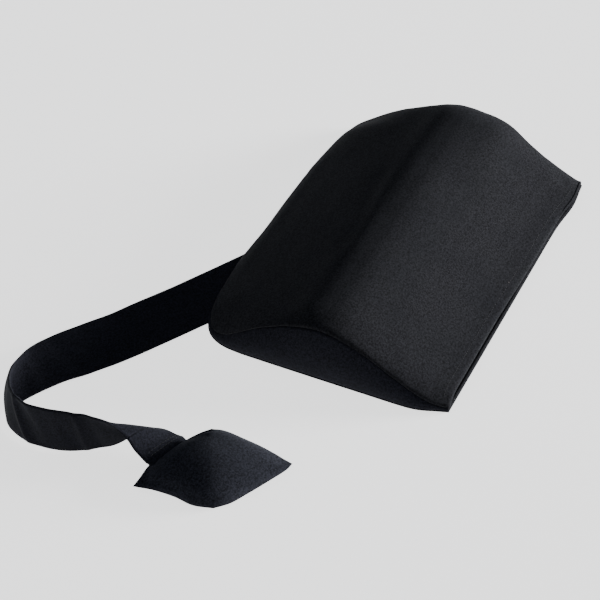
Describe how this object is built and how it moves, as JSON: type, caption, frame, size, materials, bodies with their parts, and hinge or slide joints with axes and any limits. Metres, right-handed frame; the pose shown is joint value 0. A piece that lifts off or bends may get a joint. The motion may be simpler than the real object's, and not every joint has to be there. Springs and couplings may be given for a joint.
{
  "type": "lumbar support cushion",
  "caption": "Foam lumbar support cushion in a zipped black fabric cover, with a flat fabric strap that ends in a stuffed counterweight pouch.",
  "frame": {"origin": "centre of the cushion's flat back face, on the plane it rests on", "axes": "+X across the seat back, +Y towards the edge that the strap leaves from, +Z out of the supporting front face"},
  "size_m": [0.564, 0.3885, 0.066],
  "materials": {
    "cover_fabric": "matte black brushed knit",
    "strap_fabric": "matte black brushed knit",
    "foam": "open-cell polyurethane foam",
    "canvas": "plain canvas",
    "zip_tape": "woven polyester tape",
    "zip_coil": "nylon coil",
    "zip_metal": "black enamelled die-cast metal"
  },
  "bodies": {
    "cushion": {"foam_core": "foam", "cover_front_panel": "cover_fabric", "cover_gusset": "cover_fabric", "cover_back_panel": "cover_fabric", "strap_root": "strap_fabric", "strap_anchor_patch": "canvas", "zip_tape_front": "zip_tape", "zip_tape_back": "zip_tape", "zip_coil_front": "zip_coil", "zip_coil_back": "zip_coil", "zip_stop_closed": "zip_metal", "zip_stop_open": "zip_metal"},
    "zip_slider": {"zip_slider": "zip_metal"},
    "zip_pull": {"zip_pull": "zip_metal"},
    "strap": {"strap_free": "strap_fabric"},
    "counterweight": {"pouch_upper_panel": "cover_fabric", "pouch_lower_panel": "cover_fabric", "pouch_weight_bag": "canvas"}
  },
  "joints": [
    {"name": "strap_lift", "type": "hinge", "parent": "cushion", "child": "strap", "pos_m": [-0.14669, 0.15176, 0.0033], "axis": [0.5606, 0.8281, 0], "range_deg": [0, 85]},
    {"name": "pouch_fold", "type": "hinge", "parent": "strap", "child": "counterweight", "pos_m": [-0.334, 0.0835, 0.0138], "axis": [-0.9489, 0.3094, 0.0619], "range_deg": [0, 60]},
    {"name": "zip_slide", "type": "slide", "parent": "cushion", "child": "zip_slider", "axis": [-1, 0, 0], "range_m": [0, 0.31]},
    {"name": "zip_pull_swing", "type": "hinge", "parent": "zip_slider", "child": "zip_pull", "pos_m": [0.157, -0.12515, 0.0063], "axis": [0, 0, 1], "range_deg": [0, 170]}
  ]
}
